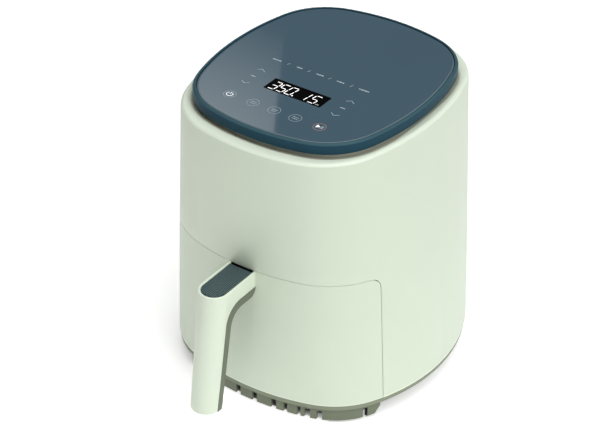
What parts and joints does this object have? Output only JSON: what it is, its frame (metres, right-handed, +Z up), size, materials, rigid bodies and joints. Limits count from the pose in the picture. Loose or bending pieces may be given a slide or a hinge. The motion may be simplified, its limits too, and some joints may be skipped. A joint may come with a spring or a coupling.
{
  "type": "air fryer",
  "caption": "Countertop air fryer with tapered rounded body, touch control lid, and a pull-out drawer with vertical grip handle, pan and lift-out crisper plate.",
  "frame": {"origin": "on the floor under the middle of the whole object, handle and cord gland included", "axes": "+Z up, -Y out of the drawer front towards the user, +X to the right seen from the front"},
  "size_m": [0.2738, 0.3506, 0.303],
  "materials": {
    "body_green": "fine satin",
    "base_grey": "satin",
    "inner_grey": "satin",
    "foot_rubber": "matte",
    "gland_black": "satin",
    "cover_teal": "satin",
    "panel_glass": "gloss, back printed",
    "inlay_teal": "fine dot texture",
    "display_black": "gloss",
    "sheet_steel": "mill",
    "coil_steel": "heat darkened",
    "spring_steel": "bright",
    "screw_steel": "zinc plated",
    "shaft_steel": "ground",
    "fan_aluminium": "mill",
    "motor_case": "dull",
    "insulator_white": "unglazed",
    "dark_plastic": "satin",
    "rail_plastic": "smooth",
    "board_green": "lacquer",
    "pad_grey": "foam",
    "plunger_red": "gloss",
    "pan_coating": "non-stick coating",
    "silicone": "silicone"
  },
  "bodies": {
    "housing": {"housing_shell": "body_green", "base_tray": "base_grey", "cavity_frame": "inner_grey", "exhaust_grille": "inner_grey", "rubber_feet": "foot_rubber", "cord_gland": "gland_black", "top_cover": "cover_teal", "touch_panel": "panel_glass", "display_module": "display_black", "liner": "sheet_steel", "reflector": "sheet_steel", "exhaust_duct": "sheet_steel", "motor_bracket": "sheet_steel", "heater_clips": "sheet_steel", "heating_coil": "coil_steel", "temperature_probe": "coil_steel", "catch_clips": "spring_steel", "base_screws": "screw_steel", "motor_screws": "screw_steel", "board_screws": "screw_steel", "cover_screws": "screw_steel", "motor": "motor_case", "lead_insulators": "insulator_white", "thermal_cutout": "dark_plastic", "board_parts": "dark_plastic", "interlock_switch": "dark_plastic", "guide_rails": "rail_plastic", "power_board": "board_green", "control_board": "board_green", "sensor_pads": "pad_grey"},
    "drawer": {"drawer_front": "body_green", "drawer_frame": "inner_grey", "drawer_screws": "screw_steel", "pan": "pan_coating", "pan_bracket": "sheet_steel", "pan_rivets": "screw_steel", "handle_front": "body_green", "handle_back": "base_grey", "handle_inlay": "inlay_teal", "handle_screws": "screw_steel"},
    "crisper": {"crisper_plate": "pan_coating", "crisper_feet": "silicone"},
    "fan": {"motor_shaft": "shaft_steel", "shaft_nut": "shaft_steel", "convection_fan": "fan_aluminium", "cooling_fan": "fan_aluminium"},
    "plunger": {"switch_plunger": "plunger_red"}
  },
  "joints": [
    {"name": "drawer_slide", "type": "slide", "parent": "housing", "child": "drawer", "axis": [0, -1, 0], "range_m": [0, 0.2]},
    {"name": "crisper_lift", "type": "slide", "parent": "drawer", "child": "crisper", "axis": [0, 0, 1], "range_m": [0, 0.085]},
    {"name": "fan_spin", "type": "hinge", "parent": "housing", "child": "fan", "pos_m": [0, 0.03435, 0.21], "axis": [0, 0, 1], "continuous": true},
    {"name": "switch_press", "type": "slide", "parent": "housing", "child": "plunger", "axis": [0, 0, 1], "range_m": [0, 0.0015], "stiffness_N_per_m": 200}
  ]
}
